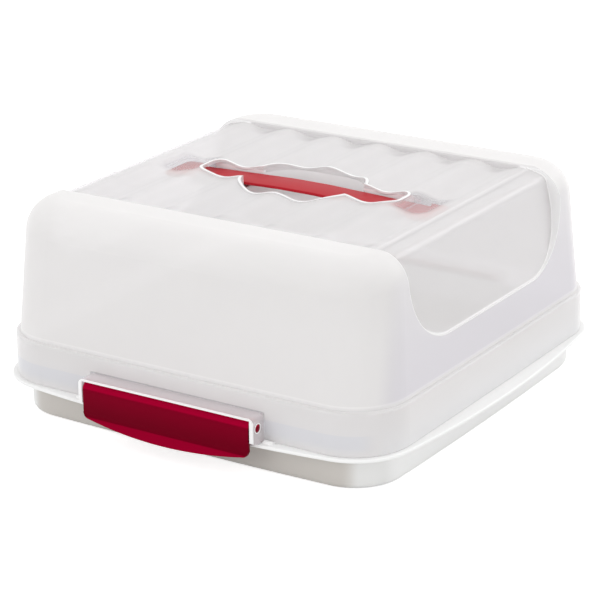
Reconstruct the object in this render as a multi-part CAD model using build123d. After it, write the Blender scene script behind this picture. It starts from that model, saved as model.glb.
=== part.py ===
from build123d import *
import math
import os

os.makedirs("parts", exist_ok=True)

# ---------------------------------------------------------------- driving sizes, in mm
# The carrier's plan. Every outline is given as an inset from this greatest half size.
half_length = 175.0  # half of the rim along X, at the middle of a side
half_depth = 178.5  # half of the rim along Y
lid_height = 159.0  # overall height, from the ground to the lid's frames

# Base tray
rim_bow = 14.0  # how far the middle of a rim side stands out from its corners
rim_corner = 45.5
rim_top = 27.7
rim_thickness = 2.6
rim_edge_round = 1.1
tray_wall_inset = 19.3  # at the upstand's top, front and back
tray_side_shift = 1.0  # how much further out the walls stand at the sides
tray_wall_lean = 0.4  # how far the wall's foot stands further in
tray_corner = 37.0
tray_bow = 3.0
tray_wall = 2.0
tray_floor = 2.2
tray_bottom_round = 3.5
upstand_rise = 15.8  # the wall goes on this far over the rim, inside the lid's skirt
lug_length = 8.0
lug_width = 3.0
lug_height = 1.8
lug_round = 0.7
lug_gap = 1.5  # from a latch cheek to the lug beside it

# Lid shell
lid_wall = 1.8
lid_seat_gap = 0.3  # the skirt's edge over the rim
lid_bow = 0.8
skirt_inset = 11.4
skirt_corner = 43.0
skirt_height = 31.6
shoulder_round = 1.6
shoulder_step = 2.8  # from the skirt's face in to the wall's foot
wall_draft = 4.2  # degrees
wall_corner = 40.5
top_round = 25.0

# Clear band: a recess over the top and down both sides
band_half_width = 111.0
band_corner = 50.0  # lower corners of the side windows
band_foot_rise = 29.4  # from the skirt's shoulder to the bottom of a side window
band_edge_round = 2.2  # on the frames' top edges
wave_depth = 3.4  # the panel's middle level under the lid's top
wave_height = 1.8  # over and under that level
wave_end_inset = 40.5  # where the waves end and the fold begins
wave_count = 6.5  # over the whole panel, between its folds
points_per_wave = 8
fold_round = 7.0
fold_inset = 31.1  # where the pane meets the top
fold_depth = 12.0
pane_foot_inset = 17.4  # at the bottom of the side window

# Handle channel and finger bowl in the clear panel
strap_width = 24.0
strap_thickness = 3.4
strap_gap = 1.3  # beside the strap
slot_half_length = 84.0
slot_corner = 8.0
channel_lap = 7.5  # how far the channel goes on under the panel
strap_seat_gap = 0.35  # under the strap, over the channel's floor
window_gap = 1.5  # over the strap where it leaves the channel
bowl_half_length = 45.0
bowl_half_width = 36.0
bowl_corner = 31.0
bowl_depth = 31.0
bowl_round = 14.0
moulding_wall = 1.6
bead_width = 3.0
bead_height = 0.5

# Strap: a level grip and two long sides, each with a wide end that anchors it
grip_half_length = 15.0
grip_depth = 7.4  # middle of the strap's thickness under the lid's top
anchor_depth = 10.1
slope_past_wall = 3.5  # where a side's slope ends, from the channel's end wall
joint_gap = 0.3
neck_length = 6.0  # from the slope's end to the wide end
neck_lap = 2.0
anchor_length = 13.0
anchor_half_width = 18.0
anchor_corner = 5.0
anchor_barb = 3.0

# Latches
pin_inset = 3.5  # pin axis from the rim's reach
pin_rise = 11.8  # pin axis over the rim
pin_radius = 3.0
pin_clearance = 0.08
pin_end_gap = 0.3  # from a pin's end to the cheek's face
flap_half_length = 70.0
flap_barrel = 6.2
flap_wall = 2.2
flap_face = 6.2  # outer face from the pin axis
flap_crease_drop = 19.5  # from the pin axis down to the finger lip
flap_lip_reach = 9.6  # outer reach of the lip from the pin axis, at mid length
flap_lip_end_reach = 6.6  # and at the flap's ends
flap_middle_drop = 26.3  # from the pin axis to the lower edge, at mid length
flap_corner_drop = 20.0
flap_corner = 6.0
flap_trim = 1.0  # spare under the lower edge, cut off by its bow
flap_rib_width = 2.2
flap_rib_margin = 0.5
rib_gap = 0.8  # a side rib's foot over the rim
hook_gap = 0.55  # under the rim
hook_thickness = 2.2
hook_grip = 4.1  # how far the hook reaches in under the rim
hook_end_margin = 6.0
cheek_gap = 1.0
cheek_wall = 3.0
cheek_foot_gap = 0.5  # over the rim
housing_reach = 6.0  # from the pin axis
housing_rise = 8.1  # top of the plate over the pin axis
housing_plate = 1.5
housing_corner = 4.0

# ---------------------------------------------------------------- worked-out sizes
rim_bottom = rim_top - rim_thickness
upstand_top = rim_top + upstand_rise
lid_foot = rim_top + lid_seat_gap
shoulder_height = lid_foot + skirt_height
wall_foot_inset = skirt_inset + shoulder_step
lid_top_inset = wall_foot_inset + (lid_height - shoulder_height) * math.tan(math.radians(wall_draft))
band_bottom = shoulder_height + band_foot_rise
wave_level = lid_height - wave_depth
wave_end = half_length - wave_end_inset
wave_length = 2 * wave_end / wave_count
fold_end = half_length - fold_inset
fold_level = lid_height - fold_depth
pane_foot = half_length - pane_foot_inset
channel_end = slot_half_length + channel_lap
slot_half_width = strap_width / 2 + strap_gap
bowl_floor = lid_height - bowl_depth
grip_level = lid_height - grip_depth
anchor_level = lid_height - anchor_depth
channel_floor = anchor_level - strap_thickness / 2 - strap_seat_gap
slope_end = channel_end + slope_past_wall
pin_out = half_depth - pin_inset
pin_level = rim_top + pin_rise
housing_top = pin_level + housing_rise
cheek_inner = flap_half_length + cheek_gap
cheek_outer = cheek_inner + cheek_wall
FRONT, BACK = -1, 1
LEFT, RIGHT = -1, 1


# ---------------------------------------------------------------- shapes used again and again
def outline(inset, corner, bow, z, side_shift=0.0):
    """A rounded rectangle with gently bowed sides, this far inside the rim's reach.

    A side shift makes it that much wider towards each side.
    """
    x = half_length - inset + side_shift
    y = half_depth - inset
    sides = [
        ThreePointArc((bow - x, bow - y), (0, -y), (x - bow, bow - y)),
        ThreePointArc((x - bow, bow - y), (x, 0), (x - bow, y - bow)),
        ThreePointArc((x - bow, y - bow), (0, y), (bow - x, y - bow)),
        ThreePointArc((bow - x, y - bow), (-x, 0), (bow - x, bow - y)),
    ]
    face = make_face(sides)
    return Pos(0, 0, z) * fillet(face.vertices(), corner)


def prism(face, bottom, top):
    """A level face drawn at Z 0, raised between two heights."""
    return Pos(0, 0, bottom) * extrude(face, top - bottom, dir=(0, 0, 1))


def block(x0, x1, y0, y1, z0, z1):
    """A box between two corners."""
    centre = ((x0 + x1) / 2, (y0 + y1) / 2, (z0 + z1) / 2)
    return Pos(*centre) * Box(x1 - x0, y1 - y0, z1 - z0)


def side_profile(points, half_length_x):
    """A closed YZ polygon, drawn out along X to both sides of the middle."""
    face = make_face(Plane.YZ * Polyline(*points, close=True))
    return extrude(face, half_length_x, both=True, dir=(1, 0, 0))


# ---------------------------------------------------------------- base tray
def make_base_tray():
    bottom_inset = tray_wall_inset + tray_wall_lean
    bottom = outline(bottom_inset, tray_corner, tray_bow, 0, tray_side_shift)
    top = outline(tray_wall_inset, tray_corner, tray_bow, upstand_top, tray_side_shift)
    outside = loft([bottom, top])
    outside = fillet(outside.edges().group_by(Axis.Z)[0], tray_bottom_round)
    inner_corner = tray_corner - tray_wall
    inner_inset = tray_wall_inset + tray_wall
    inner_bottom = outline(bottom_inset + tray_wall, inner_corner, tray_bow, tray_floor, tray_side_shift)
    inner_top = outline(inner_inset, inner_corner, tray_bow, upstand_top, tray_side_shift)
    inside = loft([inner_bottom, inner_top])
    inside = fillet(inside.edges().group_by(Axis.Z)[0], tray_bottom_round - tray_wall)
    flange = prism(outline(0, rim_corner, rim_bow, 0), rim_bottom, rim_top)
    flange = fillet(flange.edges().filter_by(is_level), rim_edge_round)
    tray = outside + flange
    for side in (FRONT, BACK):
        for end in (LEFT, RIGHT):
            tray += make_lug(side, end)
    return tray - inside


def is_level(edge):
    """True for an edge that lies at one height."""
    box = edge.bounding_box()
    return box.max.Z - box.min.Z < 0.001


def make_lug(side, end):
    """A small rib on the rim that keeps a latch cheek in line."""
    x = end * (cheek_outer + lug_gap + lug_length / 2)
    y = side * (half_depth - skirt_inset + lug_width)
    root = rim_thickness / 2
    lug = Box(lug_length, lug_width, lug_height + root)
    lug = fillet(lug.edges().group_by(Axis.Z)[-1], lug_round)
    return Pos(x, y, rim_top + (lug_height - root) / 2) * lug


# ---------------------------------------------------------------- lid shell
def make_hull(bottom, wall):
    """The lid's outer form, or with a wall given its inner form."""
    shoulder = shoulder_height - wall
    skirt = prism(outline(skirt_inset + wall, skirt_corner - wall, lid_bow, 0), bottom, shoulder)
    skirt = fillet(skirt.edges().group_by(Axis.Z)[-1], shoulder_round)
    corner = wall_corner - wall
    foot = outline(wall_foot_inset + wall, corner, lid_bow, shoulder_height - 2 * shoulder_round)
    crown = outline(lid_top_inset + wall, corner, lid_bow, lid_height - wall)
    body = loft([foot, crown])
    body = fillet(body.edges().group_by(Axis.Z)[-1], top_round - wall)
    return skirt + body


def wave_z(x, drop):
    """Height of the corrugated panel at X, or of a surface this far under it."""
    return wave_level - drop + wave_height * math.cos(2 * math.pi * x / wave_length)


def band_block(drop):
    """All that lies inside the clear band's surface, or this far inside it."""
    steps = round(points_per_wave * 2 * wave_end / wave_length)
    xs = [wave_end * (2 * i / steps - 1) for i in range(steps + 1)]
    turn = 2 * math.pi / wave_length
    slope = -turn * wave_height * math.sin(turn * wave_end)
    wave = Spline(*[(x, wave_z(x, drop)) for x in xs], tangents=[(1, -slope), (1, slope)])
    lean = (pane_foot - fold_end) / (fold_level - band_bottom)
    foot_z = shoulder_height
    foot_x = pane_foot - drop + (band_bottom - foot_z) * lean
    end_z = wave_z(wave_end, drop)
    # The fold's corner, where the wave's end tangent meets the pane's line
    corner_x = (fold_end - drop + (fold_level - end_z + slope * wave_end) * lean) / (1 + slope * lean)
    corner_z = end_z + slope * (corner_x - wave_end)
    ends = []
    for end in (LEFT, RIGHT):
        path = [(end * wave_end, end_z), (end * corner_x, corner_z), (end * foot_x, foot_z)]
        ends += FilletPolyline(*path, radius=fold_round).edges()
    closing = Line((-foot_x, foot_z), (foot_x, foot_z))
    face = make_face(Plane.XZ * Curve([wave, *ends, closing]))
    return extrude(face, half_depth, both=True, dir=(0, 1, 0))


def band_cutter(drop, rounding):
    """What the clear band takes away from the hull, with the frames' top edges rounded."""
    half = band_half_width + drop
    bottom = band_bottom - drop
    top = lid_height + 2 * band_corner
    window = Pos(0, (bottom + top) / 2) * RectangleRounded(2 * half, top - bottom, band_corner + drop)
    flare = Pos(0, lid_height) * Rectangle(2 * (half + rounding), 2 * rounding)
    for side in (FRONT, BACK):
        flare -= Pos(side * (half + rounding), lid_height - rounding) * Circle(rounding)
    window += flare
    across = extrude(Plane.YZ * window, half_length, both=True, dir=(1, 0, 0))
    return across - band_block(drop)


def rounded_plan(half_x, half_y, corner, grow):
    """A level rounded rectangle, grown evenly all round."""
    return RectangleRounded(2 * (half_x + grow), 2 * (half_y + grow), corner + grow)


def make_opening(grow):
    """Plan of the panel's opening: a long slot, with the finger bowl's opening in its middle."""
    slot = rounded_plan(slot_half_length, slot_half_width, slot_corner, grow)
    return slot + rounded_plan(bowl_half_length, bowl_half_width, bowl_corner, grow)


def make_bowl(grow):
    """The finger bowl, or its outside with a wall given."""
    plan = rounded_plan(bowl_half_length, bowl_half_width, bowl_corner, grow)
    bowl = prism(plan, bowl_floor - grow, wave_level + wave_height)
    return fillet(bowl.edges().group_by(Axis.Z)[0], bowl_round + grow)


def make_channel(grow):
    """The strap's channel, or its outside with a wall given."""
    x = channel_end + grow
    y = slot_half_width + grow
    return block(-x, x, -y, y, channel_floor - grow, wave_level + wave_height)


def pin_rod(radius, half_length_x):
    """A round bar along a latch's pin axis, drawn at the back."""
    return Pos(0, pin_out, pin_level) * Rot(0, 90, 0) * Cylinder(radius, 2 * half_length_x)


def make_housing(side):
    """Top plate and two cheeks around a latch, with the pin holes."""
    skirt_y = half_depth - skirt_inset - lid_wall / 2
    front = pin_out + housing_reach
    foot = rim_top + cheek_foot_gap
    # A cheek's foot is rounded about the pin axis, so that the lid can turn over the rim
    swing = pin_rod(pin_level - foot, cheek_outer)
    housing = block(-cheek_outer, cheek_outer, skirt_y, front, housing_top - housing_plate, housing_top)
    for end in (LEFT, RIGHT):
        inner, outer = sorted((end * cheek_inner, end * cheek_outer))
        low_front = block(inner, outer, pin_out, front, foot, pin_level)
        cheek = block(inner, outer, skirt_y, front, foot, housing_top) - low_front
        cheek += low_front & swing
        housing += cheek - pin_rod(pin_radius + pin_clearance, cheek_outer)
    front_view = Plane.XZ * RectangleRounded(2 * cheek_outer, 2 * housing_top, housing_corner)
    housing &= extrude(front_view, 2 * half_depth, both=True, dir=(0, 1, 0))
    if side == FRONT:
        housing = mirror(housing, about=Plane.XZ)
    return housing


def make_lid_shell():
    outer = make_hull(lid_foot, 0) - band_cutter(0, band_edge_round)
    cavity = make_hull(lid_foot - lid_wall, lid_wall) - band_cutter(lid_wall, band_edge_round / 2)
    moulding = (make_bowl(moulding_wall) + make_channel(moulding_wall)) & outer
    bead = prism(make_opening(bead_width), channel_floor, lid_height) & band_block(-bead_height)
    bead -= prism(make_opening(bead_width), 0, wave_level - wave_height - lid_wall / 2)
    lid = outer - cavity + moulding + bead
    lid -= (make_bowl(0) + make_channel(0)) & cavity
    lid -= prism(make_opening(0), channel_floor + strap_thickness, lid_height)
    # The strap leaves the channel under the panel, through a window in each end wall
    x = channel_end + 2 * moulding_wall
    y = slot_half_width
    lid -= block(-x, x, -y, y, channel_floor, anchor_level + strap_thickness / 2 + window_gap)
    for side in (FRONT, BACK):
        lid += make_housing(side)
    return lid


# ---------------------------------------------------------------- latches
def make_latch(side):
    """A flap with a barrel top, pins, side ribs, a finger lip and a hook, drawn at the back."""
    crease = pin_level - flap_crease_drop
    foot = pin_level - flap_middle_drop - flap_trim
    outside = pin_out + flap_face
    inside = outside - flap_wall
    lip_outside = pin_out + flap_lip_reach
    plate = side_profile(
        [
            (outside, pin_level),
            (outside, crease),
            (lip_outside, foot),
            (lip_outside - flap_wall, foot),
            (inside, crease - flap_wall / 2),
            (inside, pin_level),
        ],
        flap_half_length,
    )
    hook_half = flap_half_length - hook_end_margin
    hook_top = rim_bottom - hook_gap
    hook_y = half_depth - hook_grip
    hook_bottom = hook_top - hook_thickness
    hook = block(-hook_half, hook_half, hook_y, outside - flap_wall / 2, hook_bottom, hook_top)
    flap = plate + pin_rod(flap_barrel, flap_half_length) + hook
    flap &= flap_front_view()
    flap &= flap_top_view()
    rib_foot = rim_top + rib_gap
    for end in (LEFT, RIGHT):
        inner, outer = sorted((end * (flap_half_length - flap_rib_width), end * flap_half_length))
        flap += block(inner, outer, pin_out, outside - flap_rib_margin, rib_foot, pin_level)
    latch = flap + pin_rod(pin_radius, cheek_outer - pin_end_gap)
    if side == FRONT:
        latch = mirror(latch, about=Plane.XZ)
    return latch


def flap_front_view():
    """The flap's outline seen from the front, with a bowed lower edge and rounded corners."""
    x = flap_half_length
    corner_z = pin_level - flap_corner_drop
    head = pin_level + flap_barrel
    lower = ThreePointArc((-x, corner_z), (0, pin_level - flap_middle_drop), (x, corner_z))
    sides = Polyline((x, corner_z), (x, head), (-x, head), (-x, corner_z))
    face = make_face(Plane.XZ * Curve([lower, *sides.edges()]))
    face = fillet(face.vertices().group_by(Axis.Z)[0], flap_corner)
    return extrude(face, 2 * half_depth, both=True, dir=(0, 1, 0))


def flap_top_view():
    """The flap's outline seen from above: the lip's reach fades towards the ends."""
    x = flap_half_length
    end_y = pin_out + flap_lip_end_reach
    bulge = ThreePointArc((-x, end_y), (0, pin_out + flap_lip_reach), (x, end_y))
    back = Polyline((x, end_y), (x, 0), (-x, 0), (-x, end_y))
    return prism(make_face(Curve([bulge, *back.edges()])), 0, lid_height)


# ---------------------------------------------------------------- strap
def bar(x0, x1, z0, z1):
    """A flat strap length between two bends, without its rounded ends."""
    half = strap_thickness / 2
    points = [(x0, z0 - half), (x1, z1 - half), (x1, z1 + half), (x0, z0 + half)]
    face = make_face(Plane.XZ * Polyline(*points, close=True))
    return extrude(face, strap_width / 2, both=True, dir=(0, 1, 0))


def roll(x, z, radius):
    """A round bar across the strap, at a bend."""
    return Pos(x, 0, z) * Rot(90, 0, 0) * Cylinder(radius, strap_width)


def make_grip():
    x = grip_half_length
    socket = strap_thickness / 2 + joint_gap
    grip = bar(-x, x, grip_level, grip_level)
    return grip - roll(-x, grip_level, socket) - roll(x, grip_level, socket)


def make_strap_side(end):
    """A long side of the strap with its barbed wide end, drawn at the right."""
    half = strap_thickness / 2
    shoulder = slope_end + neck_length
    side = bar(grip_half_length, slope_end, grip_level, anchor_level)
    side += bar(slope_end, shoulder + neck_lap, anchor_level, anchor_level)
    side += roll(grip_half_length, grip_level, half)
    side += roll(slope_end, anchor_level, half)
    tip = shoulder + anchor_length
    barb = shoulder - anchor_barb
    edge = [(shoulder, strap_width / 2), (barb, anchor_half_width), (tip, anchor_half_width)]
    other_edge = [(x, -y) for x, y in reversed(edge)]
    face = make_face(Polyline(*edge, *other_edge, close=True))
    face = fillet(face.vertices().group_by(Axis.X)[-1], anchor_corner)
    side += prism(face, anchor_level - half, anchor_level + half)
    if end == LEFT:
        side = mirror(side, about=Plane.YZ)
    return side


# ---------------------------------------------------------------- export
pieces = {
    "base_tray": make_base_tray(),
    "lid_shell": make_lid_shell(),
    "latch_front": make_latch(FRONT),
    "latch_back": make_latch(BACK),
    "handle_grip": make_grip(),
    "handle_side_left": make_strap_side(LEFT),
    "handle_side_right": make_strap_side(RIGHT),
}
for name, shape in pieces.items():
    export_step(shape, f"parts/{name}.step")
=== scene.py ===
# %% [markdown]
# # A cake carrier with a hinged lid
# The carrier is a white rimmed tray, a translucent lid with a clear corrugated band, two red
# latches and a red carrying strap. Its pieces arrive at their real size and place, as a frame.
# This lesson gives each of them its finish, and models again what needs softer edges than the
# frame has: the latches, the bead round the strap's opening, and the flexible strap.

# %% Load the frame
import math

import bmesh
import bpy
from mathutils import Matrix, Vector


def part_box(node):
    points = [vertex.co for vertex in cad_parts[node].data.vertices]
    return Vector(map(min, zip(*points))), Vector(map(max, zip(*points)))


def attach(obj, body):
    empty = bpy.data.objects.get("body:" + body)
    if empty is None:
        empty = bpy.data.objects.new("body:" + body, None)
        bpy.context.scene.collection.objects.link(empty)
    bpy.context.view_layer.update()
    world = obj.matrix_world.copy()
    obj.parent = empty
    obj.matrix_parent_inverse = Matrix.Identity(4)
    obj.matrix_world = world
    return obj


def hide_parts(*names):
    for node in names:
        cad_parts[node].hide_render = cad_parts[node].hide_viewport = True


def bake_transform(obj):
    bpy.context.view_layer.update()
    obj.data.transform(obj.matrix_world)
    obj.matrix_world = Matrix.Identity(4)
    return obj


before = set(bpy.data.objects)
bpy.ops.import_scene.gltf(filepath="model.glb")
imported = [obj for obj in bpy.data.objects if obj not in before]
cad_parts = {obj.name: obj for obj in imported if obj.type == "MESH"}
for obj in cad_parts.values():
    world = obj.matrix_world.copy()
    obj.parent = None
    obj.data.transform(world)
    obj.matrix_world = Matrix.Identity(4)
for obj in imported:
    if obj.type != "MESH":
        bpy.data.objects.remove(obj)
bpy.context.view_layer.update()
MM = 0.001
tray_low, tray_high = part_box("base_tray")
lid_low, lid_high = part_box("lid_shell")
print("nodes:", sorted(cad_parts))
print("the tray reaches up to", round(tray_high[2] / MM, 1), "mm from", round(tray_low[2] / MM, 1))
print("the lid reaches up to", round(lid_high[2] / MM, 1), "mm from", round(lid_low[2] / MM, 1))

# %% [markdown]
# ## Camera
# A product camera stands well back, with a long lens, so that the carrier's sides stay nearly
# parallel. It is turned by angles about a point on the carrier's axis, which is easier to think
# about than a position, and the view is nudged by a small lens shift.

# %% Camera
VIEW_AZIMUTH = math.radians(32.76)
VIEW_ELEVATION = math.radians(19.36)
VIEW_ROLL = math.radians(-0.62)
VIEW_DISTANCE = 1.77155
VIEW_TARGET = Vector((0, 0, 0.08))
SENSOR = 36.0  # mm
LENS = 142.84  # mm
VIEW_SHIFT = (-0.00697, -0.034)  # as shares of the sensor
VIEW_REACH = 20.0


def make_camera():
    """The camera looks at the target from the given angles, a little rolled."""
    camera = bpy.data.cameras.new("camera")
    camera.lens = LENS
    camera.sensor_width = SENSOR
    camera.shift_x, camera.shift_y = VIEW_SHIFT
    camera.clip_end = VIEW_REACH
    seen_from = Vector(
        (
            math.sin(VIEW_AZIMUTH) * math.cos(VIEW_ELEVATION),
            -math.cos(VIEW_AZIMUTH) * math.cos(VIEW_ELEVATION),
            math.sin(VIEW_ELEVATION),
        )
    )
    holder = bpy.data.objects.new("camera", camera)
    bpy.context.scene.collection.objects.link(holder)
    turn = seen_from.to_track_quat("Z", "Y").to_matrix().to_4x4()
    roll = Matrix.Rotation(VIEW_ROLL, 4, "Z")
    holder.matrix_world = Matrix.Translation(VIEW_TARGET + seen_from * VIEW_DISTANCE) @ turn @ roll
    bpy.context.scene.camera = holder
    return holder


camera = make_camera()
print("camera at", [round(c, 3) for c in camera.location])

# %% [markdown]
# ## Writing shader maths as expressions
# A node tree is easier to read as algebra. `Wire` wraps one socket, and using it with + - * /
# adds the Math node that does it. `Graph.node` makes any other node: settings first, because
# they can change which sockets a node has, and then the values or links of its sockets.

# %% Node helpers


class Wire:
    """One output socket that can be used in an expression."""

    def __init__(self, graph, socket):
        self.graph = graph
        self.socket = socket

    def _math(self, operation, first, second=0.0):
        node = self.graph.node("ShaderNodeMath", {"operation": operation}, {0: first, 1: second})
        return Wire(self.graph, node.outputs[0])

    def __add__(self, other):
        return self._math("ADD", self, other)

    def __sub__(self, other):
        return self._math("SUBTRACT", self, other)

    def __rsub__(self, other):
        return self._math("SUBTRACT", other, self)

    def __mul__(self, other):
        return self._math("MULTIPLY", self, other)

    def __truediv__(self, other):
        return self._math("DIVIDE", self, other)

    def __rtruediv__(self, other):
        return self._math("DIVIDE", other, self)

    __radd__ = __add__
    __rmul__ = __mul__

    def power(self, exponent):
        return self._math("POWER", self, exponent)

    def root(self):
        return self._math("SQRT", self)

    def cosine(self):
        return self._math("COSINE", self)

    def absolute(self):
        return self._math("ABSOLUTE", self)

    def at_least(self, low):
        return self._math("MAXIMUM", self, low)

    def at_most(self, high):
        return self._math("MINIMUM", self, high)

    def between(self, low, high):
        return self.at_least(low).at_most(high)

    def step(self, low, high):
        """0 below low, 1 above high, and a smooth rise between."""
        settings = {"interpolation_type": "SMOOTHSTEP"}
        inputs = {"Value": self, "From Min": low, "From Max": high}
        return self.graph.wire("ShaderNodeMapRange", settings, inputs, "Result")

    def fall(self, low, high):
        """1 below low, 0 above high, and a smooth fall between."""
        return 1 - self.step(low, high)


class Graph:
    """A node tree, with one method that makes any node."""

    def __init__(self, tree):
        self.tree = tree

    def node(self, kind, settings=None, inputs=None):
        node = self.tree.nodes.new(kind)
        for name, value in (settings or {}).items():
            if name == "stops":
                self.set_stops(node.color_ramp.elements, value)
            else:
                setattr(node, name, value)
        for name, value in (inputs or {}).items():
            self.feed(node.inputs[name], value)
        return node

    def wire(self, kind, settings=None, inputs=None, output=0):
        return Wire(self, self.node(kind, settings, inputs).outputs[output])

    def feed(self, socket, value):
        if isinstance(value, Wire):
            self.tree.links.new(value.socket, socket)
        elif isinstance(value, bpy.types.NodeSocket):
            self.tree.links.new(value, socket)
        else:
            socket.default_value = value

    def set_stops(self, elements, stops):
        for place, colour in stops[len(elements):]:
            elements.new(place).color = (*colour, 1)
        for element, (place, colour) in zip(elements, stops):
            element.position = place
            element.color = (*colour, 1)


def new_material(name):
    """An empty material, as a Graph with its output node."""
    material = bpy.data.materials.new(name)
    material.use_nodes = True
    material.node_tree.nodes.clear()
    graph = Graph(material.node_tree)
    graph.material = material
    graph.output = graph.node("ShaderNodeOutputMaterial")
    return graph


print("helpers ready")

# %% [markdown]
# ## Floor, backdrop and light
# The carrier stands in a white sweep. The floor looks white to the camera because of its own
# colour and a little light that only the camera, gloss and clear plastic see, so the lamps can
# stay soft enough for the white plastic not to burn out. Big soft lamps draw the long highlights
# on the lid's crest and on the latch's rounded top, whose red also has painted light in it.

# %% Floor and world
FLOOR_REACH = 4.0
FLOOR_DROP = 0.3 * MM
FLOOR_GLOW = 0.68
FLOOR_COLOUR = (0.76, 0.76, 0.76)
WORLD_FILL = 0.86  # how much of the white falls on the carrier as light


def make_floor():
    mesh = bpy.data.meshes.new("floor")
    corners = [(-1, -1), (1, -1), (1, 1), (-1, 1)]
    points = [(x * FLOOR_REACH, y * FLOOR_REACH, -FLOOR_DROP) for x, y in corners]
    mesh.from_pydata(points, [], [(0, 1, 2, 3)])
    floor = bpy.data.objects.new("floor", mesh)
    bpy.context.scene.collection.objects.link(floor)
    graph = new_material("floor_white")
    paths = graph.node("ShaderNodeLightPath")
    seen = Wire(graph, paths.outputs["Is Camera Ray"]) + Wire(graph, paths.outputs["Is Glossy Ray"])
    seen = seen + Wire(graph, paths.outputs["Is Transmission Ray"])
    matt = graph.node("ShaderNodeBsdfDiffuse", None, {"Color": (*FLOOR_COLOUR, 1)})
    glow = graph.node("ShaderNodeEmission", None, {"Strength": seen * FLOOR_GLOW})
    both = graph.node("ShaderNodeAddShader", None, {0: matt.outputs[0], 1: glow.outputs[0]})
    graph.feed(graph.output.inputs["Surface"], both.outputs[0])
    floor.data.materials.append(graph.material)
    return floor


def make_world():
    """White to the eye and in reflections, and a dimmer even fill for the light that falls."""
    world = bpy.data.worlds.new("studio")
    world.use_nodes = True
    bpy.context.scene.world = world
    graph = Graph(world.node_tree)
    graph.tree.nodes.clear()
    paths = graph.node("ShaderNodeLightPath")
    seen = Wire(graph, paths.outputs["Is Camera Ray"]) + Wire(graph, paths.outputs["Is Transmission Ray"])
    strength = seen * (1 - WORLD_FILL) + WORLD_FILL
    sky = graph.node("ShaderNodeBackground", None, {"Color": (1, 1, 1, 1), "Strength": strength})
    output = graph.node("ShaderNodeOutputWorld")
    graph.feed(output.inputs["Surface"], sky.outputs[0])


make_floor()
make_world()
bpy.context.scene.view_settings.view_transform = "Standard"

# %% Lamps
LAMPS = {
    # name: (place, aimed at, width, height, watts)
    "top_soft": ((0.0, 0.15, 1.5), (0, 0, 0.1), 1.6, 1.6, 3.0),
    "front_left": ((-0.35, -1.85, 0.9), (0, 0, 0.08), 1.0, 1.0, 5.6),
    "front_right": ((1.6, -0.7, 0.35), (0, 0, 0.06), 0.9, 0.5, 1.8),
    "back_left": ((-0.9, 1.5, 0.75), (0, 0, 0.15), 0.5, 0.5, 0.2),
    "back_right": ((0.75, 1.5, 1.1), (0, 0, 0.15), 0.9, 0.7, 6.0),
}


def make_lamp(name, place, target, width, height, watts):
    light = bpy.data.lights.new(name, "AREA")
    light.shape = "RECTANGLE"
    light.size = width
    light.size_y = height
    light.energy = watts
    lamp = bpy.data.objects.new(name, light)
    bpy.context.scene.collection.objects.link(lamp)
    direction = Vector(place) - Vector(target)
    turn = direction.to_track_quat("Z", "Y").to_matrix().to_4x4()
    lamp.matrix_world = Matrix.Translation(place) @ turn


for lamp_name, facts in LAMPS.items():
    make_lamp(lamp_name, *facts)
print("lamps:", ", ".join(LAMPS))

# %% [markdown]
# ## White moulded plastic
# The tray is an opaque white moulding with a fine even grain from its mould, and a trace of
# warmth. Broad noise shifts its colour and roughness a little, and fine noise feeds a very
# shallow bump. The rim and the side walls have painted light and are a little lighter than the
# rest, and the front and back walls have painted shade and are darker.

# %% Tray material
TRAY_GRAIN = 900
TRAY_CLOUDS = 14
TRAY_GRAIN_DEPTH = 0.02 * MM
TRAY_RIM = (24.4 * MM, 25.0 * MM)
TRAY_WALL = (150.0 * MM, 156.0 * MM)
TRAY_COLOURS = ((0.80, 0.80, 0.79), (0.85, 0.85, 0.84))
# Painted light for the rim and side walls, painted shade for the front and back walls
TRAY_PAINTED_LIGHT = (0.93, 0.93, 0.925)
TRAY_PAINTED_SHADE = (0.60, 0.57, 0.535)
TRAY_ROUGHNESS = 0.34
TRAY_ROUGHNESS_SHIFT = 0.1
TRAY_IOR = 1.49


def grain(graph, scale, detail=2.0):
    """Noise on the piece's own coordinates, as a number from 0 to 1."""
    place = graph.node("ShaderNodeTexCoord").outputs["Object"]
    return graph.wire("ShaderNodeTexNoise", None, {"Vector": place, "Scale": scale, "Detail": detail}, "Fac")


def mixed_colour(graph, factor, first, second):
    """A colour between two, by a factor."""
    inputs = {0: factor, 6: (*first, 1), 7: (*second, 1)}
    return graph.wire("ShaderNodeMix", {"data_type": "RGBA"}, inputs, 2)


def tinted(graph, colour, mask, tint):
    """The colour, with another one where the mask is 1."""
    return graph.wire("ShaderNodeMix", {"data_type": "RGBA"}, {0: mask, 6: colour, 7: (*tint, 1)}, 2)


def bumps(graph, height, distance):
    return graph.wire("ShaderNodeBump", None, {"Height": height, "Distance": distance}, "Normal")


def coordinates(graph):
    """The surface's own X, Y and Z, as wires."""
    place = graph.node("ShaderNodeTexCoord").outputs["Object"]
    parts = graph.node("ShaderNodeSeparateXYZ", None, {"Vector": place})
    return [Wire(graph, parts.outputs[axis]) for axis in "XYZ"]


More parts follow.
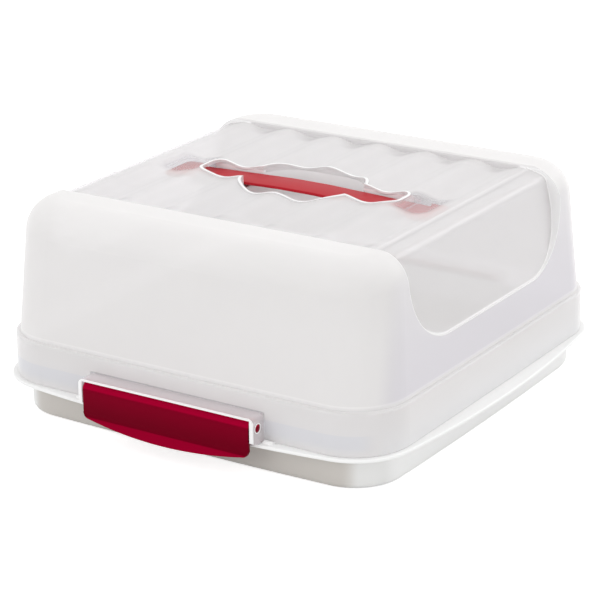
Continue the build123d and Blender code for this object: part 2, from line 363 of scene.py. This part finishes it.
def tray_material():
    graph = new_material("tray_white")
    fine = grain(graph, TRAY_GRAIN)
    clouds = grain(graph, TRAY_CLOUDS)
    x, y, z = coordinates(graph)
    rim = z.step(*TRAY_RIM)
    end_wall = y.absolute().step(*TRAY_WALL) * (1 - rim)
    side_wall = x.absolute().step(*TRAY_WALL) * (1 - rim)
    colour = mixed_colour(graph, clouds, *TRAY_COLOURS)
    # Painted light on the rim and side walls, then painted shade on the front and back walls
    colour = tinted(graph, colour, (rim + side_wall).at_most(1), TRAY_PAINTED_LIGHT)
    colour = tinted(graph, colour, end_wall, TRAY_PAINTED_SHADE)
    inputs = {
        "Base Color": colour,
        "Roughness": TRAY_ROUGHNESS + TRAY_ROUGHNESS_SHIFT * clouds,
        "Normal": bumps(graph, fine, TRAY_GRAIN_DEPTH),
        "IOR": TRAY_IOR,
    }
    shader = graph.node("ShaderNodeBsdfPrincipled", None, inputs)
    graph.feed(graph.output.inputs["Surface"], shader.outputs[0])
    return graph.material


# %% [markdown]
# ## Frosted and clear plastic
# The lid is one translucent moulding. Its end frames have a fine mould texture that scatters
# light, so they look milky; the corrugated band is polished, and things show through it. Each
# finish is a white plastic mixed with a see-through surface. At a glancing angle more of the
# plastic lies in the way, so the mix follows the viewing angle of the surface.
#
# Several materials could be painted on face by face, but the borders between the finishes are
# simple shapes, so one material finds them from the surface's own coordinates. The polished band
# is a rounded window, and the distance from its outline gives its mask and that of the ridge along
# it, whose brightness is painted light. The other zones are boxes with soft borders. In two of them
# the plastic is clearer: over the strap's ends, and where a latch lies behind it. Something red
# touches the plastic there and shows through. Painted shade dulls the side walls and the skirt
# over the tray's upstand; painted light brightens the cut edges, the finger bowl, the shoulder line
# and the foot of the side skirt, and gives the latch housing a pink glow.

# %% Where each finish lies
BAND_HALF_WIDTH = 111.0 * MM
BAND_CORNER = 50.0 * MM
BAND_BOTTOM = 89.0 * MM
SKIRT_TOP = (60.2 * MM, 63.0 * MM)
SKIRT_FOOT = (26.0 * MM, 52.0 * MM)
SKIRT_FACE = 167.4 * MM
HOUSING_FRONT = 180.5 * MM
PIN_OUT = 175.0 * MM
PIN_LEVEL = 39.5 * MM
PIN_RING = 3.7 * MM
RIDGE_INSIDE = (-2.0 * MM, -0.6 * MM)
RIDGE_OUTSIDE = (0.1 * MM, 0.9 * MM)
SIDE_WINDOW = (118.0 * MM, 122.0 * MM)
SIDE_FACE = (150.0 * MM, 160.0 * MM)
# The shoulder line takes this share of the ridge's finish and of its painted light
SHOULDER_SHARE = 0.3
BLUR = 0.25 * MM
ZONES = {
    # zone: for each direction, the soft border where it starts and the one where it ends, in mm
    "strap end": {"along": ((80, 90), (108, 122)), "out": (None, (13, 24)), "up": ((140, 142), None)},
    "latch": {"along": (None, (72, 75)), "out": ((160, 162), None), "up": ((40, 42), (47.5, 49))},
    "finger bowl": {"along": (None, (45.5, 46.5)), "out": (None, (36.5, 37.5)), "up": (None, (152, 153))},
    "channel": {"along": (None, (86, 87)), "out": (None, (15, 16)), "up": (None, (154, 155))},
    "shoulder": {"up": ((59.6, 60.2), (62.4, 63.4))},
    # Where painted shade stands for the tray's upstand, in shade behind the front and back skirt
    "upstand": {"out": ((150, 160), None), "up": ((28, 36), (42.6, 43.6))},
}


def zone(name, directions):
    """1 inside a zone and 0 outside it, with its soft borders between."""
    mask = 1.0
    for direction, (start, end) in ZONES[name].items():
        if start:
            mask = mask * directions[direction].step(*(place * MM for place in start))
        if end:
            mask = mask * directions[direction].fall(*(place * MM for place in end))
    return mask


def window_distance(out, up):
    """How far a point lies outside the band's outline, which has rounded lower corners."""
    beside = (out - (BAND_HALF_WIDTH - BAND_CORNER)).at_least(0)
    below = (BAND_BOTTOM + BAND_CORNER - up).at_least(0)
    return (beside * beside + below * below).root() - BAND_CORNER


def lid_masks(directions):
    """Where each finish lies, in the order in which they are laid over the frosted one."""
    along, out, up = (directions[name] for name in ("along", "out", "up"))
    from_window = window_distance(out, up)
    ridge = from_window.step(*RIDGE_INSIDE) * from_window.fall(*RIDGE_OUTSIDE)
    ridge = ridge * along.step(*SIDE_WINDOW) + SHOULDER_SHARE * zone("shoulder", directions)
    housing = out.step(SKIRT_FACE, SKIRT_FACE + BLUR)
    from_pin = ((out - PIN_OUT).power(2) + (up - PIN_LEVEL).power(2)).root()
    ring = from_pin.fall(PIN_RING, PIN_RING + BLUR)
    cut_edge = out.step(HOUSING_FRONT - BLUR, HOUSING_FRONT) + ring
    touched = zone("strap end", directions) + zone("latch", directions) * (1 - housing)
    bowl = zone("finger bowl", directions) + zone("channel", directions)
    return {
        "polished": from_window.fall(BLUR, 3 * BLUR),
        "skirt": up.fall(*SKIRT_TOP),
        "housing": housing,
        "cut edge": cut_edge.at_most(1),
        "touched": touched.at_most(1),
        "bowl": bowl.at_most(1),
        "ridge": ridge.at_most(1),
    }


# %% [markdown]
# ### The panel's waves
# Light from inside the lid evens out the shading of the waves. The waves stay in the shape, and a
# bump of the opposite sign takes part of their slope out of the shading.

# %% Softened waves
WAVES_TO_END = 3.25  # from the middle of the panel to its end
WAVE_LEVEL = 155.6 * MM
WAVE_HEIGHT = 1.8 * MM
WAVE_LENGTH = 134.5 / WAVES_TO_END * MM
WAVE_END = (122.0 * MM, 136.0 * MM)
PANEL_SIDE = (96.0 * MM, 110.0 * MM)
PANEL_UNDER = (-1.3 * MM, -0.9 * MM)
PANEL_OVER = (0.5 * MM, 2.5 * MM)
FLATTEN = 0.6


def softened_waves(x, y, z):
    """A height that undoes part of the waves' slope on the panel's upper face."""
    wave = WAVE_HEIGHT * (2 * math.pi * x / WAVE_LENGTH).cosine()
    above = z - wave - WAVE_LEVEL
    top_face = above.step(*PANEL_UNDER) * above.fall(*PANEL_OVER)
    inside = x.absolute().fall(*WAVE_END) * y.absolute().fall(*PANEL_SIDE)
    return 0 - FLATTEN * wave * top_face * inside


# %% The lid's finishes
VEIL_HEAD_ON, VEIL_GLANCING, ROUGHNESS = range(3)
LID_FINISHES = {
    # finish: veil seen head-on, veil seen at a glancing angle, roughness
    "frosted": (0.68, 0.97, 0.46),
    "skirt": (0.56, 0.88, 0.34),
    "polished": (0.50, 0.56, 0.13),
    "housing": (0.40, 0.56, 0.10),
    "cut edge": (0.92, 0.98, 0.20),
    "touched": (0.20, 0.28, 0.20),
    "bowl": (0.80, 0.92, 0.30),
    "ridge": (0.86, 0.93, 0.30),
}
LID_COLOURS = ((0.94, 0.93, 0.922), (0.96, 0.945, 0.935))
# Painted shade for the side walls and the upstand band, a painted pink glow for the latch housing, and
# painted light
LID_PAINTED_LIGHT_AND_SHADE = {
    "side wall": (0.85, 0.83, 0.865),
    "upstand": (0.895, 0.90, 0.925),
    "housing": (0.985, 0.92, 0.93),
    "light": (0.985, 0.985, 0.985),
}
RIDGE_PAINTED_LIGHT = 0.6
LID_CLEAR = (0.98, 0.972, 0.99)
LID_GRAIN = 700
LID_CLOUDS = 9
LID_GRAIN_DEPTH = 0.03 * MM
LID_ROUGHNESS_SHIFT = 0.05
LID_SHEEN = 0.2
LID_FACING = 0.35
GLANCING_POWER = 1.6
PLASTIC_IOR = 1.5


def blended(masks, column):
    """One number of the finishes, blended by their masks."""
    value = LID_FINISHES["frosted"][column]
    for finish, mask in masks.items():
        value = value + (LID_FINISHES[finish][column] - value) * mask
    return value


def lid_shade(graph, masks, directions, clouds):
    """The plastic's own white, with painted shade and painted light laid over it in places."""
    side = directions["along"].step(*SIDE_FACE) * (1 - masks["polished"])
    # Painted light at the foot of the side skirt, and on the cut edges, ridge, shoulder line and finger bowl
    skirt_foot = side * directions["up"].fall(*SKIRT_FOOT)
    light = masks["cut edge"] + RIDGE_PAINTED_LIGHT * masks["ridge"] + masks["bowl"] + skirt_foot
    shade = mixed_colour(graph, clouds, *LID_COLOURS)
    # Painted shade: the side walls above the skirt are duller and lilac
    shade = tinted(graph, shade, side * (1 - masks["skirt"]), LID_PAINTED_LIGHT_AND_SHADE["side wall"])
    # Painted shade where the tray's upstand stands in shade behind the front and back skirt
    shade = tinted(graph, shade, zone("upstand", directions), LID_PAINTED_LIGHT_AND_SHADE["upstand"])
    # Painted light: a pink glow over the latch housing, for the red latch that shows through it
    shade = tinted(graph, shade, masks["housing"], LID_PAINTED_LIGHT_AND_SHADE["housing"])
    return tinted(graph, shade, light.at_most(1), LID_PAINTED_LIGHT_AND_SHADE["light"])


def facing(graph, blend):
    """0 where the surface is seen head-on, rising to 1 at its outline."""
    return graph.wire("ShaderNodeLayerWeight", None, {"Blend": blend}, "Facing")


def veiled(graph, body, clear_colour, veil):
    """The plastic mixed with a see-through surface: a veil of 1 hides all that lies behind it."""
    clear = graph.node("ShaderNodeBsdfTransparent", None, {"Color": (*clear_colour, 1)})
    mix = graph.node("ShaderNodeMixShader", None, {0: veil, 1: clear.outputs[0], 2: body.outputs[0]})
    graph.feed(graph.output.inputs["Surface"], mix.outputs[0])
    return graph.material


def lid_material():
    graph = new_material("lid_clear")
    x, y, z = coordinates(graph)
    directions = {"along": x.absolute(), "out": y.absolute(), "up": z}
    masks = lid_masks(directions)
    fine = grain(graph, LID_GRAIN)
    clouds = grain(graph, LID_CLOUDS)
    rough = blended(masks, ROUGHNESS)
    height = fine * rough * LID_GRAIN_DEPTH + softened_waves(x, y, z)
    inputs = {
        "Base Color": lid_shade(graph, masks, directions, clouds),
        "Roughness": rough + LID_ROUGHNESS_SHIFT * (clouds - 0.5),
        "Normal": bumps(graph, height, 1.0),
        "IOR": PLASTIC_IOR,
        "Specular IOR Level": LID_SHEEN,
    }
    body = graph.node("ShaderNodeBsdfPrincipled", None, inputs)
    head_on = blended(masks, VEIL_HEAD_ON)
    glancing = facing(graph, LID_FACING).power(GLANCING_POWER)
    veil = head_on + (blended(masks, VEIL_GLANCING) - head_on) * glancing
    return veiled(graph, body, LID_CLEAR, veil)


# %% [markdown]
# ## Red plastic
# The latches are a deep glossy red, and the strap is the same red in a softer, satin plastic.
# Their sheen is a little red too, so that a white room doesn't turn them pink.

# %% Red materials
RED_GRAIN = 1200
RED_CLOUDS = 22
RED_CLOUD_SHIFT = 0.1
RED_ROUGHNESS_SHIFT = 0.06
# Painted light: the latch's barrel and finger lip are a lighter red than its plate
PLATE = (22.0 * MM, 40.0 * MM)
BARREL_FOOT = (40.0 * MM, 42.0 * MM)
LIP_TOP = (19.3 * MM, 20.1 * MM)
PLATE_SHARE = 0.25
LIP_SHARE = 0.7


def painted_light_on_barrel_and_lip(graph):
    """Painted light: the barrel and the finger lip are a lighter red than the plate between them."""
    z = coordinates(graph)[2]
    return PLATE_SHARE * z.step(*PLATE) + z.step(*BARREL_FOOT) + LIP_SHARE * z.fall(*LIP_TOP)


RED_FINISHES = {
    "latch_red": {
        "dark": (0.15, 0.0, 0.009),
        "light": (0.36, 0.0, 0.026),
        "roughness": 0.3,
        "grain_depth": 0.004 * MM,
        "sheen": 0.06,
        "sheen_tint": (1.0, 0.02, 0.12),
        "lighter": painted_light_on_barrel_and_lip,
    },
    "strap_red": {
        "dark": (0.45, 0.005, 0.015),
        "light": (0.49, 0.006, 0.017),
        "roughness": 0.45,
        "grain_depth": 0.01 * MM,
        "sheen": 0.32,
        "sheen_tint": (1.0, 0.8, 0.8),
    },
}


def red_material(name, dark, light, roughness, grain_depth, sheen, sheen_tint, lighter=None):
    """A red between dark and light: by the noise, or by where painted light should fall."""
    graph = new_material(name)
    fine = grain(graph, RED_GRAIN)
    clouds = grain(graph, RED_CLOUDS)
    share = clouds
    if lighter:
        share = (lighter(graph) + RED_CLOUD_SHIFT * (clouds - 0.5)).between(0, 1)
    inputs = {
        "Base Color": mixed_colour(graph, share, dark, light),
        "Roughness": roughness + RED_ROUGHNESS_SHIFT * clouds,
        "Normal": bumps(graph, fine, grain_depth),
        "IOR": PLASTIC_IOR,
        "Specular IOR Level": sheen,
        "Specular Tint": (*sheen_tint, 1),
    }
    shader = graph.node("ShaderNodeBsdfPrincipled", None, inputs)
    graph.feed(graph.output.inputs["Surface"], shader.outputs[0])
    return graph.material


# %% Dress the tray and the lid
latch_red = red_material("latch_red", **RED_FINISHES["latch_red"])
strap_red = red_material("strap_red", **RED_FINISHES["strap_red"])
tray_white = tray_material()
lid_clear = lid_material()


def dress(node, material):
    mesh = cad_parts[node].data
    mesh.materials.clear()
    mesh.materials.append(material)


dress("base_tray", tray_white)
dress("lid_shell", lid_clear)
print("dressed base_tray and lid_shell")

# %% [markdown]
# ## Geometry Nodes from Python
# A geometry tree is written as a `Rule`, which is a `Graph` with named inputs. They show as fields
# on the modifier. `made_by` puts the tree on an object, sets the fields, and turns the result into
# a plain mesh, so that the piece no longer depends on the tree.

# %% Geometry helpers
SHARP_ANGLE = math.radians(38)
WELD_DISTANCE = 0.002 * MM

class Rule(Graph):
    """A geometry tree with named inputs and one result."""

    def __init__(self, name, inputs):
        super().__init__(bpy.data.node_groups.new(name, "GeometryNodeTree"))
        interface = self.tree.interface
        interface.new_socket("Geometry", in_out="INPUT", socket_type="NodeSocketGeometry")
        for label, kind in inputs.items():
            interface.new_socket(label, in_out="INPUT", socket_type="NodeSocket" + kind)
        interface.new_socket("Geometry", in_out="OUTPUT", socket_type="NodeSocketGeometry")
        self.given = self.tree.nodes.new("NodeGroupInput")

    def __getitem__(self, label):
        return Wire(self, self.given.outputs[label])

    def finish(self, geometry):
        """Realize, give the material and hand over."""
        geometry = self.wire("GeometryNodeRealizeInstances", None, {0: geometry})
        inputs = {"Geometry": geometry, "Material": self["Material"]}
        geometry = self.wire("GeometryNodeSetMaterial", None, inputs)
        self.feed(self.tree.nodes.new("NodeGroupOutput").inputs[0], geometry)


def new_object(name, mesh):
    piece = bpy.data.objects.new(name, mesh)
    bpy.context.scene.collection.objects.link(piece)
    return piece


def outline_mesh(name, points, closed=True):
    """A wire through the points, for a tree to read as a curve."""
    mesh = bpy.data.meshes.new(name)
    edges = [(i, i + 1) for i in range(len(points) - 1)]
    if closed:
        edges.append((len(points) - 1, 0))
    mesh.from_pydata([(*p, 0) for p in points], edges, [])
    return mesh


def made_by(rule, piece, values):
    """The piece's mesh becomes what the tree and the modifiers after it make."""
    modifier = piece.modifiers.new(rule.tree.name, "NODES")
    modifier.node_group = rule.tree
    piece.modifiers.move(len(piece.modifiers) - 1, 0)
    for item in rule.tree.interface.items_tree:
        if item.in_out == "INPUT" and item.name in values:
            modifier[item.identifier] = values[item.name]
    settle(piece)
    return piece


def settle(piece):
    """The modified mesh replaces the piece's own, closed and with its faces outwards."""
    graph = bpy.context.evaluated_depsgraph_get()
    mesh = bpy.data.meshes.new_from_object(piece.evaluated_get(graph))
    piece.modifiers.clear()
    shape = bmesh.new()
    shape.from_mesh(mesh)
    bmesh.ops.remove_doubles(shape, verts=shape.verts, dist=WELD_DISTANCE)
    bmesh.ops.recalc_face_normals(shape, faces=shape.faces)
    shape.to_mesh(mesh)
    open_edges = sum(1 for edge in shape.edges if not edge.is_manifold)
    shape.free()
    mesh.shade_smooth()
    mesh.set_sharp_from_angle(angle=SHARP_ANGLE)
    piece.data = mesh
    print(f"{piece.name}: {len(mesh.polygons)} faces, {open_edges} open edges")


def rounded_edges(piece, width):
    bevel = piece.modifiers.new("rounded", "BEVEL")
    bevel.width = width
    bevel.segments = 3
    bevel.limit_method = "ANGLE"
    bevel.angle_limit = SHARP_ANGLE
    bevel.harden_normals = False


# %% [markdown]
# ## Snap latches
# A latch is a long moulded flap. Its section is a round barrel with a flat plate that flares
# into a finger lip; along its length the lip's lower edge is bowed and its reach fades. A
# hand-made mesh would need every column moved. Here the section is swept along the latch, and a
# rule shapes the lip: how far a point lies below the crease says how much of the bow it takes.

# %% Latch sizes
FLAP = {
    "Half Length": 70.0 * MM,
    "Crease Drop": 19.5 * MM,
    "Middle Drop": 26.3 * MM,
    "Corner Drop": 20.0 * MM,
    "Middle Reach": 9.6 * MM,
    "End Reach": 6.6 * MM,
    "Corner Radius": 3.6 * MM,
}
BARREL = 6.2 * MM
FLAP_WALL = 2.2 * MM
FLAP_EDGE = 0.7 * MM
BARREL_STEPS = 40
PLATE_STEPS = 8
FLAP_COLUMNS = 130


def stretch(start, end, steps):
    """Points along a straight run, without the last one."""
    return [tuple(a + (b - a) * i / steps for a, b in zip(start, end)) for i in range(steps)]


def flap_section():
    """The section at mid length: distance out from the pin, and distance down from it."""
    inside = BARREL - FLAP_WALL
    foot, crease, reach = FLAP["Middle Drop"], FLAP["Crease Drop"], FLAP["Middle Reach"]
    points = stretch((BARREL, 0), (BARREL, crease), PLATE_STEPS)
    points += stretch((BARREL, crease), (reach, foot), PLATE_STEPS)
    points += stretch((reach, foot), (reach - FLAP_WALL, foot), 1)
    points += stretch((reach - FLAP_WALL, foot), (inside, crease + FLAP_WALL / 2), PLATE_STEPS)
    leave = math.acos(inside / BARREL)
    points += stretch((inside, crease + FLAP_WALL / 2), (inside, BARREL * math.sin(leave)), PLATE_STEPS)
    for i in range(BARREL_STEPS):
        angle = leave + (2 * math.pi - leave) * i / BARREL_STEPS
        points.append((BARREL * math.cos(angle), BARREL * math.sin(angle)))
    return points


def latch_rule():
    names = {name: "Float" for name in FLAP}
    rule = Rule("snap_latch", {**names, "Columns": "Int", "Turn": "Float", "Material": "Material"})
    half = rule["Half Length"]
    ends = [rule.wire("ShaderNodeCombineXYZ", None, {"X": side * half}) for side in (-1, 1)]
    line = rule.wire("GeometryNodeCurvePrimitiveLine", None, {"Start": ends[0], "End": ends[1]})
    line = rule.wire("GeometryNodeResampleCurve", None, {"Curve": line, "Count": rule["Columns"]})
    section = rule.wire("GeometryNodeMeshToCurve", None, {"Mesh": rule["Geometry"]})
    inputs = {"Curve": line, "Profile Curve": section, "Fill Caps": True}
    flap = rule.wire("GeometryNodeCurveToMesh", None, inputs)

    place = rule.node("ShaderNodeSeparateXYZ", None, {0: rule.wire("GeometryNodeInputPosition")})
    x, z = Wire(rule, place.outputs["X"]), Wire(rule, place.outputs["Z"])
    crease, middle = rule["Crease Drop"], rule["Middle Drop"]
    share = ((0 - z - crease) / (middle - crease)).between(0, 1)
    along = (x / half).power(2)
    fade = (rule["Middle Reach"] - rule["End Reach"]) * along
    radius = rule["Corner Radius"]
    past = (x.absolute() - half + radius).between(0, radius)
    rise = radius - (radius * radius - past * past).at_least(0).root()
    # The corner's rise starts above the crease, so that the plate doesn't fold over itself
    rounded = ((0 - z - crease) / (2 * radius) + 1).between(0, 1)
    lift = share * (middle - rule["Corner Drop"]) * along + rounded * rise
    offset = rule.wire("ShaderNodeCombineXYZ", None, {"Y": share * fade, "Z": lift})
    flap = rule.wire("GeometryNodeSetPosition", None, {"Geometry": flap, "Offset": offset})

    together = rule.node("GeometryNodeJoinGeometry")
    for solid in (flap, *latch_fittings(rule)):
        rule.feed(together.inputs[0], solid)
    at_pin = {"Geometry": Wire(rule, together.outputs[0]), "Translation": (0, -PIN_OUT, PIN_LEVEL)}
    whole = rule.wire("GeometryNodeTransform", None, at_pin)
    turn = rule.wire("ShaderNodeCombineXYZ", None, {"Z": rule["Turn"]})
    whole = rule.wire("GeometryNodeTransform", None, {"Geometry": whole, "Rotation": turn})
    rule.finish(whole)
    return rule


# %% Pins, hook and side ribs
PIN_RADIUS = 3.0 * MM
PIN_HALF_LENGTH = 73.7 * MM
PIN_SIDES = 32
HOOK = ((-64.0, -5.0, -17.15), (64.0, 0.6, -14.95))  # lowest and highest corner from the pin, mm
RIB_WIDTH = 2.2  # mm
RIB_REACH = 5.7  # mm
RIB_DROP = 11.0  # mm


def latch_fittings(rule):
    """A pin rod through the barrel, the hook under the rim, and a rib at each end."""
    rod = {"Vertices": PIN_SIDES, "Radius": PIN_RADIUS, "Depth": 2 * PIN_HALF_LENGTH}
    rod = rule.wire("GeometryNodeMeshCylinder", None, rod)
    turned = {"Geometry": rod, "Rotation": (0, math.pi / 2, 0)}
    yield rule.wire("GeometryNodeTransform", None, turned)
    half = FLAP["Half Length"] / MM
    boxes = [HOOK]
    for low, high in ((-half, RIB_WIDTH - half), (half - RIB_WIDTH, half)):
        boxes.append(((low, -RIB_REACH, -RIB_DROP), (high, 0, 0)))
    for low, high in boxes:
        size = [(b - a) * MM for a, b in zip(low, high)]
        middle = [(a + b) / 2 * MM for a, b in zip(low, high)]
        box = rule.wire("GeometryNodeMeshCube", None, {"Size": size})
        yield rule.wire("GeometryNodeTransform", None, {"Geometry": box, "Translation": middle})


# %% Both latches
snap_latch = latch_rule()
for side, turn in (("front", 0.0), ("back", math.pi)):
    latch = new_object(f"flap_{side}", outline_mesh("section", flap_section()))
    rounded_edges(latch, FLAP_EDGE)
    made_by(snap_latch, latch, {**FLAP, "Columns": FLAP_COLUMNS, "Turn": turn, "Material": latch_red})
    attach(latch, f"latch_{side}")
    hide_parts(f"latch_{side}")

# %% [markdown]
# ## The bead round the opening
# A moulded bead stiffens the edge of the opening in the corrugated panel. It follows the
# opening's outline in plan and the waves in height. The plan is worked out here as arcs; the
# tree lifts it on to the waves with one cosine, and sweeps a small rounded bar along it.

# %% Bead sizes
SLOT_HALF = (84.0 * MM, 13.3 * MM)
SLOT_CORNER = 8.0 * MM
BOWL_CORNER = 31.0 * MM
BOWL_CENTRE = (14.0 * MM, 5.0 * MM)
MEETING_ROUND = 1.6 * MM
BEAD_OUT = 1.5 * MM
BEAD = {
    "Wave Level": WAVE_LEVEL,
    "Wave Height": WAVE_HEIGHT,
    "Wave Length": WAVE_LENGTH,
    "Width": 2.2 * MM,
    "Height": 1.2 * MM,
    "Edge Round": 0.4 * MM,
    "Step": 1.2 * MM,
}
# Whiter than the lid's colours: painted light for the light that the thick bead gathers
BEAD_WHITES_WITH_PAINTED_LIGHT = ((0.96, 0.96, 0.965), (0.985, 0.985, 0.985))
BEAD_CLEAR = (0.985, 0.985, 0.99)
BEAD_ROUGHNESS = 0.16
BEAD_ROUGHNESS_SHIFT = 0.05
BEAD_GRAIN_DEPTH = 0.003 * MM
BEAD_FACING = 0.5
BEAD_VEIL = 0.75
BEAD_VEIL_RISE = 0.25


def arc(centre, radius, start, end, steps):
    angles = [math.radians(start + (end - start) * i / steps) for i in range(steps + 1)]
    return [(centre[0] + radius * math.cos(a), centre[1] + radius * math.sin(a)) for a in angles]


def opening_outline(grow):
    """Slot and finger bowl in one outline, grown outwards, from the slot's end to the bowl's top."""
    x, y = (half + grow for half in SLOT_HALF)
    corner = SLOT_CORNER + grow
    bowl = BOWL_CORNER + grow
    # A small arc turns the slot's edge into the bowl's
    over = y - BOWL_CENTRE[1] + MEETING_ROUND
    meet_x = BOWL_CENTRE[0] + math.sqrt((bowl + MEETING_ROUND) ** 2 - over**2)
    leave = math.degrees(math.atan2(over, meet_x - BOWL_CENTRE[0]))
    quarter = arc((x - corner, y - corner), corner, 0, 90, 6)
    quarter += arc((meet_x, y + MEETING_ROUND), MEETING_ROUND, 270, 180 + leave, 4)
    quarter += arc(BOWL_CENTRE, bowl, leave, 90, 16)[1:]
    half = quarter + [(-a, b) for a, b in reversed(quarter)]
    return half + [(-a, -b) for a, b in half]


def bead_rule():
    names = {name: "Float" for name in BEAD}
    rule = Rule("opening_bead", {**names, "Material": "Material"})
    path = rule.wire("GeometryNodeMeshToCurve", None, {"Mesh": rule["Geometry"]})
    inputs = {"Curve": path, "Length": rule["Step"]}
    path = rule.wire("GeometryNodeResampleCurve", {"mode": "LENGTH"}, inputs)
    place = rule.node("ShaderNodeSeparateXYZ", None, {0: rule.wire("GeometryNodeInputPosition")})
    turns = 2 * math.pi * Wire(rule, place.outputs["X"]) / rule["Wave Length"]
    height = rule["Wave Level"] + rule["Wave Height"] * turns.cosine()
    offset = rule.wire("ShaderNodeCombineXYZ", None, {"Z": height})
    path = rule.wire("GeometryNodeSetPosition", None, {"Geometry": path, "Offset": offset})
    path = rule.wire("GeometryNodeSetCurveNormal", {"mode": "Z_UP"}, {"Curve": path})
    sizes = {"Width": rule["Width"], "Height": rule["Height"]}
    bar = rule.wire("GeometryNodeCurvePrimitiveQuadrilateral", None, sizes)
    inputs = {"Curve": bar, "Count": 4, "Radius": rule["Edge Round"]}
    bar = rule.wire("GeometryNodeFilletCurve", {"mode": "POLY"}, inputs)
    bead = rule.wire("GeometryNodeCurveToMesh", None, {"Curve": path, "Profile Curve": bar})
    rule.finish(bead)
    return rule


# %% The bead
def bead_material():
    """The lid's plastic, thick and rounded, with painted light that makes it whiter than the lid."""
    graph = new_material("lid_bead")
    fine = grain(graph, LID_GRAIN)
    inputs = {
        "Base Color": mixed_colour(graph, fine, *BEAD_WHITES_WITH_PAINTED_LIGHT),
        "Roughness": BEAD_ROUGHNESS + BEAD_ROUGHNESS_SHIFT * fine,
        "Normal": bumps(graph, fine, BEAD_GRAIN_DEPTH),
        "IOR": PLASTIC_IOR,
    }
    body = graph.node("ShaderNodeBsdfPrincipled", None, inputs)
    veil = BEAD_VEIL + BEAD_VEIL_RISE * facing(graph, BEAD_FACING)
    return veiled(graph, body, BEAD_CLEAR, veil)


bead = new_object("opening_bead", outline_mesh("opening", opening_outline(BEAD_OUT)))
made_by(bead_rule(), bead, {**BEAD, "Material": bead_material()})
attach(bead, "lid")

# %% [markdown]
# ## Carrying strap
# The strap is one flexible moulding: flat and level in the middle, falling gently to both sides,
# with a barbed wide end under the panel. When a hand lifts it, it bends at two places. A curve
# with a bevel would twist at the bends, so the strap is drawn in plan and given its thickness.
# It is made in two halves that meet in the middle, because a piece can bend between two bodies
# only. It is made in two halves that meet in the middle, each running from the middle of the
# level grip to its own side, and they take the place of the frame's grip and handle sides.

# %% Strap sizes
# All lengths in mm
STRAP_HALF_WIDTH = 12.0
STRAP_RISE = 1.7  # the top face, over the level that the strap follows
STRAP_THICKNESS = 2.2
GRIP_END = 15.0
SLOPE_END = 95.0
GRIP_LEVEL = 151.6
END_LEVEL = 148.9
SHOULDER_X = 101.0
BARB_X = 98.0
TIP_X = 114.0
WIDE_HALF = 18.0
TIP_CORNER = 5.0
STRAP_STEP = 2.0
LEVEL_START = 97.0
SOFT_BEND = 5.0
STRAP_EDGE = 0.55
STRAP_SHARP = math.radians(20)
MEETING_FACE = 0.01


def soft_corner(x, bend):
    """Distance past a bend, eased over a short length on both sides of it."""
    if abs(x - bend) >= SOFT_BEND:
        return max(x - bend, 0.0)
    return (x - bend + SOFT_BEND) ** 2 / (4 * SOFT_BEND)


def strap_level(x):
    fall = (GRIP_LEVEL - END_LEVEL) / (SLOPE_END - GRIP_END)
    return GRIP_LEVEL - fall * (soft_corner(x, GRIP_END) - soft_corner(x, SLOPE_END))


def strap_half(name, side):
    """Half the strap, drawn on its top face and then given its thickness and soft edges."""
    shape = bmesh.new()

    def point(x, y):
        z = strap_level(x) + STRAP_RISE
        return shape.verts.new(Vector((side * x, y, z)) * MM)

    steps = round(LEVEL_START / STRAP_STEP)
    stations = [LEVEL_START * i / steps for i in range(steps + 1)]
    rows = [(point(x, -STRAP_HALF_WIDTH), point(x, STRAP_HALF_WIDTH)) for x in stations]
    for (a, b), (c, d) in zip(rows, rows[1:]):
        shape.faces.new((a, c, d, b))
    tip = arc((TIP_X - TIP_CORNER, WIDE_HALF - TIP_CORNER), TIP_CORNER, 90, 0, 8)
    outline = [(SHOULDER_X, STRAP_HALF_WIDTH), (BARB_X, WIDE_HALF), *tip]
    near = [point(x, y) for x, y in outline]
    far = [point(x, -y) for x, y in reversed(outline)]
    shape.faces.new([rows[-1][1], *near, *far, rows[-1][0]])
    grown = bmesh.ops.extrude_face_region(shape, geom=shape.faces[:])["geom"]
    lowered = [v for v in grown if isinstance(v, bmesh.types.BMVert)]
    bmesh.ops.translate(shape, verts=lowered, vec=(0, 0, -STRAP_THICKNESS * MM))
    bmesh.ops.recalc_face_normals(shape, faces=shape.faces)
    # The face where the halves meet keeps its sharp edges, so that no groove shows there
    outside = MEETING_FACE * MM
    sharp = [
        edge
        for edge in shape.edges
        if edge.calc_face_angle(0) > STRAP_SHARP and max(abs(v.co.x) for v in edge.verts) > outside
    ]
    bmesh.ops.bevel(shape, geom=sharp, offset=STRAP_EDGE * MM, segments=3, profile=0.5, affect="EDGES")
    mesh = bpy.data.meshes.new(name)
    shape.to_mesh(mesh)
    shape.free()
    mesh.materials.append(strap_red)
    half = new_object(name, mesh)
    settle(half)
    return half


# %% Both halves of the strap
for name, side in (("left", -1), ("right", 1)):
    half = strap_half(f"strap_{name}", side)
    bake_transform(half)
    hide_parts(f"handle_side_{name}", "handle_grip")
